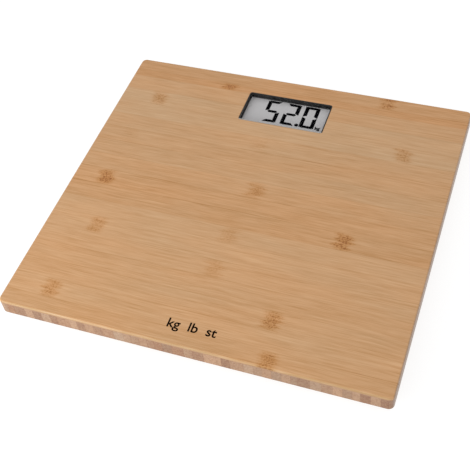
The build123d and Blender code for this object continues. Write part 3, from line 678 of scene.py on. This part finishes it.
def end_tree(tree, geometry, material):
    """Realize Instances, Set Material and the output."""
    real = add(tree, "RealizeInstances", Geometry=geometry)
    dressed = add(tree, "SetMaterial", Geometry=real, Material=material)
    tree.links.new(dressed, tree.nodes.new("NodeGroupOutput").inputs[0])


def settle(mesh, merge=1e-6):
    """Weld points that coincide and turn every face outwards."""
    shell = bmesh.new()
    shell.from_mesh(mesh)
    bmesh.ops.remove_doubles(shell, verts=shell.verts, dist=merge)
    bmesh.ops.recalc_face_normals(shell, faces=shell.faces)
    shell.to_mesh(mesh)
    shell.free()
    return mesh


def stand(name, mesh, material=None):
    """Put a mesh in the scene as a piece."""
    if material:
        mesh.materials.clear()
        mesh.materials.append(material)
    piece = bpy.data.objects.new(name, mesh)
    scene.collection.objects.link(piece)
    return piece


def grow(name, tree, start, **values):
    """Run a tree on a starting mesh and keep the result as a plain mesh."""
    source = stand(name + "_start", start)
    step = source.modifiers.new("grow", "NODES")
    step.node_group = tree
    for item in tree.interface.items_tree:
        if item.in_out == "INPUT" and item.name.replace(" ", "_") in values:
            step[item.identifier] = values[item.name.replace(" ", "_")]
    depsgraph = bpy.context.evaluated_depsgraph_get()
    mesh = bpy.data.meshes.new_from_object(source.evaluated_get(depsgraph), depsgraph=depsgraph)
    source.modifiers.clear()
    bpy.data.objects.remove(source)
    return stand(name, settle(mesh))


print("geometry helpers ready")

# %% [markdown]
# ## The reading
# The display shows three seven-segment digits. Each lit bar is a flat stroke whose ends are
# cut at a slant, so that neighbouring bars meet in a thin bright gap. The outer side of a
# bar is longer than its inner side, and only the bar in the middle comes to a point.
#
# Drawing each bar corner by corner would be slow. Here a digit is a little wire figure, one
# edge for each lit bar, always drawn with the inside of the digit on its left. The tree
# sweeps a flat section along the edges, slides the points of the inner side inwards to
# make the mitre, and gives the stroke its thickness.

# %% Sizes of the digits
glass_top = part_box("lcd_front_glass")[1].z
DIGIT_W, DIGIT_H = 13.7 * MM, 27.5 * MM
DIGIT_PITCH = 17.8 * MM
MARGIN_RIGHT, MARGIN_LOW = 9.6 * MM, 6.7 * MM
DIGITS_RIGHT = lens_high.x * MM - MARGIN_RIGHT
DIGITS_LOW = lens_low.y * MM + MARGIN_LOW
UPRIGHT, LEVEL = 3.6 * MM, 3.0 * MM
BAR_GAP = 0.2 * MM
CORNER_TRIM, UPRIGHT_MITRE = 0.7 * MM, 0.45
INK_T = 0.05 * MM
READING = "520"
LIT = {"5": "afgcd", "2": "abged", "0": "abcdef"}
print("digits", round(DIGIT_H / MM, 1), "mm high, on glass at", round(glass_top / MM, 2), "mm")


# %% Where the bars of a digit lie
def bar_line(letter, left, low):
    """Start and end of a bar's middle line, in the direction that keeps the inside on its left.

    The letters go round a digit as usual: a at the top, b to f clockwise, g in the middle.
    """
    x0, x1 = left + UPRIGHT / 2, left + DIGIT_W - UPRIGHT / 2
    y0, y1 = low + LEVEL / 2, low + DIGIT_H - LEVEL / 2
    middle = (y0 + y1) / 2
    lines = {
        "a": ((x1, y1), (x0, y1)),
        "b": ((x1, middle), (x1, y1)),
        "c": ((x1, y0), (x1, middle)),
        "d": ((x0, y0), (x1, y0)),
        "e": ((x0, middle), (x0, y0)),
        "f": ((x0, y1), (x0, middle)),
        "g": ((x0, middle), (x1, middle)),
    }
    return lines[letter]


print("a bar is", round(UPRIGHT / MM, 1), "or", round(LEVEL / MM, 1), "mm wide")

# %% How far each bar reaches
# The outer side of a bar runs past the start and the end of its middle line: to the outline
# of the digit at a corner, and no further than the line itself at half height. The level
# bars stop a little short of the outline, which trims the corners of the digit.
AT_CORNER = LEVEL / 2
ALONG_LEVEL = UPRIGHT / 2 - CORNER_TRIM
REACH = {
    "a": (ALONG_LEVEL, ALONG_LEVEL),
    "b": (0.0, AT_CORNER),
    "c": (AT_CORNER, 0.0),
    "d": (ALONG_LEVEL, ALONG_LEVEL),
    "e": (0.0, AT_CORNER),
    "f": (AT_CORNER, 0.0),
    "g": (0.0, 0.0),
}
print("corners trimmed by", round(CORNER_TRIM / MM, 1), "mm")

# %% The wire figure of the whole reading
wire = bmesh.new()
width_mark = wire.verts.layers.float.new("bar_width")
point_mark = wire.verts.layers.float.new("pointed")
reach_mark = wire.verts.layers.float.new("reach")
mitre_mark = wire.verts.layers.float.new("mitre")
for turn, digit in enumerate(reversed(READING)):
    left = DIGITS_RIGHT - DIGIT_W - DIGIT_PITCH * turn
    for letter in LIT[digit]:
        line = bar_line(letter, left, DIGITS_LOW)
        pair = [wire.verts.new((*point, glass_top)) for point in line]
        for vertex, reach in zip(pair, REACH[letter]):
            vertex[width_mark] = LEVEL if letter in "adg" else UPRIGHT
            vertex[point_mark] = float(letter == "g")
            vertex[reach_mark] = reach
            vertex[mitre_mark] = 1.0 if letter in "ad" else UPRIGHT_MITRE
        wire.edges.new(pair)
wire_mesh = bpy.data.meshes.new("reading_wire")
wire.to_mesh(wire_mesh)
wire.free()
print("the reading", READING, "has", len(wire_mesh.edges), "lit bars")

# %% The tree that gives the bars their body
tree, given = new_tree("mitred_bars", Thickness=INK_T, Gap=BAR_GAP)
bars = add(tree, "MeshToCurve", Mesh=given["Geometry"])
bars = add(tree, "SetCurveNormal", {"mode": "Z_UP"}, Curve=bars)
spline = tree.nodes.new("GeometryNodeSplineParameter").outputs["Factor"]
bars = label_with(tree, bars, "end", spline)
bars = label_with(tree, bars, "heading", add(tree, "InputTangent"), "FLOAT_VECTOR")
section = add(tree, "CurvePrimitiveLine", Start=(-0.5, 0, 0), End=(0.5, 0, 0))
section = add(tree, "ResampleCurve", Curve=section, Count=3)
section = label_with(tree, section, "side", calc(tree, "MULTIPLY_ADD", spline, -2.0, 1.0))
bar_width = read_label(tree, "bar_width")
ribbon = add(tree, "CurveToMesh", Curve=bars, Profile_Curve=section, Scale=bar_width)

# how far each point slides inwards along its bar: the gap, plus the mitre on the inner side
# or the point of the middle bar, less the reach past the end of the line
side = read_label(tree, "side")
mitred = times(tree, total(tree, side, 1.0), read_label(tree, "mitre"))
is_pointed = read_label(tree, "pointed")
shape = total(
    tree, times(tree, size_of(tree, side), is_pointed),
    times(tree, mitred, minus(tree, 1.0, is_pointed)),
)
inset = calc(tree, "MULTIPLY_ADD", shape, times(tree, bar_width, 0.5), given["Gap"])
inset = minus(tree, inset, read_label(tree, "reach"))
inward = calc(tree, "MULTIPLY_ADD", read_label(tree, "end"), -2.0, 1.0)
heading = read_label(tree, "heading", "FLOAT_VECTOR")
slide = scale_vector(tree, heading, times(tree, inset, inward))
ribbon = add(tree, "SetPosition", Geometry=ribbon, Offset=slide)
raised = add(
    tree, "ExtrudeMesh", {"mode": "FACES"}, Mesh=ribbon, Offset=(0, 0, 1),
    Offset_Scale=given["Thickness"], Individual=False,
)
solid = join(tree, raised, add(tree, "FlipFaces", Mesh=ribbon))
end_tree(tree, solid, display_ink)
digits = grow("display_digits", tree, wire_mesh, Thickness=INK_T, Gap=BAR_GAP)
print("digits:", len(digits.data.polygons), "faces, made by", len(tree.nodes), "nodes")

# %% [markdown]
# ## Printed signs
# The decimal point and the small unit sign belong to the display like the digits. The
# three units that the scale knows are printed in dark ink near the front edge. Letters
# are easiest as a text curve with a little thickness. The curve becomes a mesh first, and
# only then moves to its place, so the finished piece keeps its origin at the scale's.

# %% Letters as a thin solid
def letters(name, words, size, middle, thickness, material, boldness=0.0, facing_down=False):
    """Words as flat solid letters, centred on a point, on top of a plane or hanging under it.

    A bevel makes the strokes bolder and also thicker, so the mesh is pressed flat again.
    """
    text = bpy.data.curves.new(name, "FONT")
    text.body, text.size, text.extrude = words, size, thickness / 2
    text.bevel_depth, text.bevel_resolution = boldness, 1
    text.align_x, text.align_y = "CENTER", "CENTER"
    text.resolution_u = 6
    source = bpy.data.objects.new(name + "_start", text)
    scene.collection.objects.link(source)
    depsgraph = bpy.context.evaluated_depsgraph_get()
    mesh = bpy.data.meshes.new_from_object(source.evaluated_get(depsgraph), depsgraph=depsgraph)
    bpy.data.objects.remove(source)
    settle(mesh, merge=1e-8)
    turn = Matrix.Rotation(pi, 4, "X") if facing_down else Matrix.Identity(4)
    lift = Vector((0, 0, -thickness / 2 if facing_down else thickness / 2))
    press = Matrix.Diagonal((1, 1, thickness / (thickness + 2 * boldness), 1))
    mesh.transform(Matrix.Translation(Vector(middle) + lift) @ turn @ press)
    mesh.update()
    return stand(name, mesh, material)


print("letters ready")

# %% Decimal point in the display, between the last two digits
POINT_R, POINT_GAP = 1.9 * MM, 2.3 * MM
point_x = DIGITS_RIGHT - DIGIT_W - POINT_GAP
dot = bmesh.new()
bmesh.ops.create_cone(
    dot, cap_ends=True, segments=32, radius1=POINT_R, radius2=POINT_R * 0.97, depth=INK_T,
    matrix=Matrix.Translation((point_x, DIGITS_LOW + POINT_R, glass_top + INK_T / 2)),
)
dot_mesh = bpy.data.meshes.new("decimal_point")
dot.to_mesh(dot_mesh)
dot.free()
decimal_point = stand("decimal_point", dot_mesh, display_ink)
print("decimal point", round(2 * POINT_R / MM, 1), "mm across")

# %% Unit sign in the display, at the foot of the last digit
SIGN_SIZE, SIGN_BOLD = 5.3 * MM, 0.26 * MM
SIGN_GAP, SIGN_RISE = 3.5 * MM, 1.9 * MM
sign_middle = (DIGITS_RIGHT + SIGN_GAP, DIGITS_LOW + SIGN_RISE, glass_top)
unit_sign = letters(
    "unit_sign", "kg", SIGN_SIZE, sign_middle, INK_T, display_ink, boldness=SIGN_BOLD
)
print("unit sign", round(SIGN_SIZE / MM, 1), "mm")

# %% Printed units near the front edge
print_ink = moulded("print_ink", (0.009, 0.004, 0.002), 0.6, grain=4.0, Specular_IOR_Level=0.0)
PRINT_T = 0.02 * MM
PRINT_SIZE, PRINT_BOLD, PRINT_Y = 11.6 * MM, 0.20 * MM, -132.4 * MM
board_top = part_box("platform_board")[1].z
printed_units = letters(
    "printed_units", "kg  lb  st", PRINT_SIZE, (0, PRINT_Y, board_top), PRINT_T, print_ink,
    boldness=PRINT_BOLD,
)
across = [vertex.co.x / MM for vertex in printed_units.data.vertices]
print("printed units are", round(max(across) - min(across), 1), "mm wide")

# %% [markdown]
# ## Tread of the rubber pads
# Each foot stands on a rubber pad with two ring grooves. Small nubs stand in the grooves, so
# that the rubber can give and grip a tiled floor. A mould maker would turn the rings on
# a lathe and then drill the nubs on an indexing table, evenly round each ring. The tree
# does the same: a circle of points for each groove, and one nub on every point.

# %% The tree for the tread
NUB_R, NUB_TIP_R, NUB_H = 0.62 * MM, 0.42 * MM, 0.55 * MM
GROOVE_RADII = (10.0 * MM, 15.5 * MM)
NUB_COUNTS = (24, 38)
tree, given = new_tree(
    "pad_tread", Inner_Radius=GROOVE_RADII[0], Outer_Radius=GROOVE_RADII[1],
    Inner_Count=NUB_COUNTS[0], Outer_Count=NUB_COUNTS[1],
    Nub_Radius=NUB_R, Tip_Radius=NUB_TIP_R, Nub_Height=NUB_H,
)
nub = add(
    tree, "MeshCone", Vertices=14, Depth=given["Nub Height"],
    Radius_Top=given["Nub Radius"], Radius_Bottom=given["Tip Radius"],
)
rings = join(
    tree, add(tree, "MeshCircle", Vertices=given["Inner Count"], Radius=given["Inner Radius"]),
    add(tree, "MeshCircle", Vertices=given["Outer Count"], Radius=given["Outer Radius"]),
)
tread = add(tree, "InstanceOnPoints", Points=rings, Instance=nub)
tread = add(tree, "InstanceOnPoints", Points=given["Geometry"], Instance=tread)
end_tree(tree, tread, finish["grey_rubber"])
print("tread:", " and ".join(str(count) for count in NUB_COUNTS), "nubs")

# %% One tread for each foot
# the tips stay a little above the sole of the pad, until the rubber gives under a load
TIP_HEIGHT = 0.15 * MM
for corner in ("front_left", "front_right", "back_left", "back_right"):
    pad_low, pad_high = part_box("foot_pad_" + corner)
    start = bpy.data.meshes.new("pad_middle")
    middle = (pad_low + pad_high) / 2
    start.from_pydata([(middle.x, middle.y, pad_low.z + TIP_HEIGHT)], [], [])
    tread = grow("pad_tread_" + corner, tree, start)
    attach(tread, "foot_" + corner)
    print(tread.name, len(tread.data.polygons), "faces")

# %% [markdown]
# ## Rating label and marks on the case
# On the underside there is a printed film label, and the plastic case has two marks in
# grey ink: what the button does, and where the battery door opens. The label is a thin
# sheet with round corners. Its lines of plain text and the marks on the case are made with
# the same text tool as the printed units, turned over to face the floor.

# %% The label film
LABEL_W, LABEL_D = 62 * MM, 30 * MM
LABEL_R, LABEL_T = 2.5 * MM, 0.10 * MM
LABEL_MIDDLE = Vector((0, -20 * MM, 0))
ARC_STEPS = 6
board_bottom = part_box("platform_board")[0].z
label_film = moulded("label_film", (0.60, 0.60, 0.60), 0.38, grain=0.7)
outline = []
for turn in range(4):
    corner_x = (LABEL_W / 2 - LABEL_R) * (1 if turn in (0, 3) else -1)
    corner_y = (LABEL_D / 2 - LABEL_R) * (1 if turn < 2 else -1)
    for step in range(ARC_STEPS + 1):
        angle = radians(90 * turn + 90 / ARC_STEPS * step)
        outline.append((corner_x + LABEL_R * cos(angle), corner_y + LABEL_R * sin(angle)))
shell = bmesh.new()
rim = [
    shell.verts.new((LABEL_MIDDLE.x + u, LABEL_MIDDLE.y + v, board_bottom)) for u, v in outline
]
sheet_face = shell.faces.new(rim)
pushed = bmesh.ops.extrude_face_region(shell, geom=[sheet_face])["geom"]
pushed_verts = [item for item in pushed if isinstance(item, bmesh.types.BMVert)]
bmesh.ops.translate(shell, vec=(0, 0, -LABEL_T), verts=pushed_verts)
bmesh.ops.recalc_face_normals(shell, faces=shell.faces)
label_mesh = bpy.data.meshes.new("rating_label")
shell.to_mesh(label_mesh)
shell.free()
rating_label = stand("rating_label", label_mesh, label_film)
print("label", round(LABEL_W / MM), "by", round(LABEL_D / MM), "mm")

# %% Text on the label: words, letter size, and height above the middle of the label
LABEL_LINES = [
    ("DIGITAL SCALE", 4.2, 9.0),
    ("max 150 kg / 330 lb / 23 st", 3.2, 2.6),
    ("d = 0.1 kg", 3.2, -2.6),
    ("3 V  lithium cell", 3.2, -7.8),
]
marks = []
for row, (words, size, height) in enumerate(LABEL_LINES):
    # turned over, the upper side of the label is the one that is nearer to the front
    line_middle = (LABEL_MIDDLE.x, LABEL_MIDDLE.y - height * MM, board_bottom - LABEL_T)
    marks.append(letters(
        f"label_line_{row}", words, size * MM, line_middle, INK_T, print_ink,
        boldness=0.05 * MM, facing_down=True,
    ))
print(len(marks), "lines on the label")

# %% Marks on the case and on its door
case_print = moulded("case_print", (0.16, 0.165, 0.17), 0.6, grain=4.0, Specular_IOR_Level=0.1)
UNIT_MARK_SIZE, OPEN_MARK_SIZE = 4.0 * MM, 3.8 * MM
BELOW_BUTTON, ABOVE_DOOR_MIDDLE = 7.6 * MM, 1.5 * MM
case_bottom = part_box("rear_case")[0].z
button_low, button_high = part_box("unit_button")
button_middle = (button_low + button_high) / 2
marks.append(letters(
    "unit_mark", "kg  lb  st", UNIT_MARK_SIZE,
    (button_middle.x, button_middle.y - BELOW_BUTTON, case_bottom), INK_T, case_print,
    boldness=0.10 * MM, facing_down=True,
))
door_low, door_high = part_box("battery_door")
door_middle = (door_low + door_high) / 2
open_mark = letters(
    "open_mark", "OPEN", OPEN_MARK_SIZE,
    (door_middle.x, door_middle.y + ABOVE_DOOR_MIDDLE, door_low.z), INK_T, case_print,
    boldness=0.12 * MM, facing_down=True,
)
print(len(marks) + 1, "lines of marks")

# %% Each piece rides on the body that carries it
on_platform = (digits, decimal_point, unit_sign, printed_units, rating_label, *marks)
for piece in on_platform:
    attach(piece, "platform")
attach(open_mark, "battery_door")
print(len(on_platform), "pieces ride on the platform and one on the battery door")

# %% [markdown]
# ## Studio
# A catalogue view on pure white needs a floor and a surrounding that are both almost white
# and evenly lit. A white world does most of the work, and the floor glows a little by
# itself, so that no hard shadow falls on it. One small soft lamp stands low at the near
# left corner: it lights the near edge of the board and leaves the right-hand side darker.

# %% Floor
# It lies a hair below the soles, because two faces in one plane would show as patches, and
# it is clear from below, so that the underside of the scale can be looked at.
FLOOR_HALF, FLOOR_Z = 4.0, -0.05 * MM
floor_mesh = bpy.data.meshes.new("floor")
signs = ((-1, -1), (1, -1), (1, 1), (-1, 1))
corners = [(u * FLOOR_HALF, v * FLOOR_HALF, FLOOR_Z) for u, v in signs]
floor_mesh.from_pydata(corners, [], [(0, 1, 2, 3)])
floor_finish, tree, shader, _ = new_finish("floor_paper", roughness=0.9, Specular_IOR_Level=0.0)
shader.inputs["Base Color"].default_value = (0.30, 0.30, 0.30, 1.0)
shader.inputs["Emission Color"].default_value = (1.0, 1.0, 1.0, 1.0)
shader.inputs["Emission Strength"].default_value = 0.80
clear = tree.nodes.new("ShaderNodeBsdfTransparent")
sides = tree.nodes.new("ShaderNodeNewGeometry")
either = tree.nodes.new("ShaderNodeMixShader")
tree.links.new(sides.outputs["Backfacing"], either.inputs[0])
tree.links.new(shader.outputs[0], either.inputs[1])
tree.links.new(clear.outputs[0], either.inputs[2])
tree.links.new(either.outputs[0], tree.nodes["Material Output"].inputs["Surface"])
floor = stand("floor", floor_mesh, floor_finish)
print("floor", 2 * FLOOR_HALF, "m across")

# %% World and lamp
world = bpy.data.worlds.new("white_studio")
world.use_nodes = True
sky = world.node_tree.nodes["Background"]
sky.inputs["Color"].default_value = (1.0, 1.0, 1.0, 1.0)
sky.inputs["Strength"].default_value = 0.76
scene.world = world
scene.view_settings.view_transform = "Standard"

lamp_data = bpy.data.lights.new("soft_lamp", "AREA")
lamp_data.shape = "DISK"
lamp_data.size = 0.4
lamp_data.energy = 5.0
lamp = bpy.data.objects.new("soft_lamp", lamp_data)
scene.collection.objects.link(lamp)
lamp.location = (-0.45, -0.75, 0.30)
lamp.rotation_euler = (-lamp.location).to_track_quat("-Z", "Y").to_euler()
print("world strength", sky.inputs["Strength"].default_value, "lamp", lamp_data.energy, "W")

# %% [markdown]
# ## Camera
# The scale is seen from above, from its near right corner, through a short telephoto lens.
# The view is a little turned: the camera leans to one side, so that the scale seems to lie
# at a lively angle. The camera looks at its target, and then rolls about its own axis.

# %% Camera
EYE = Vector((0.2088, -0.4761, 0.6019))
TARGET = Vector((0.0017, -0.0379, 0.0230))
LEAN = -7.87
camera_data = bpy.data.cameras.new("camera")
camera_data.lens = 71.3
camera_data.sensor_width = 36.0
camera = bpy.data.objects.new("camera", camera_data)
scene.collection.objects.link(camera)
look = (TARGET - EYE).to_track_quat("-Z", "Y").to_matrix().to_4x4()
camera.matrix_world = Matrix.Translation(EYE) @ look @ Matrix.Rotation(radians(LEAN), 4, "Z")
scene.camera = camera
print("camera axes", [[round(v, 4) for v in axis] for axis in camera.matrix_world.to_3x3().col])
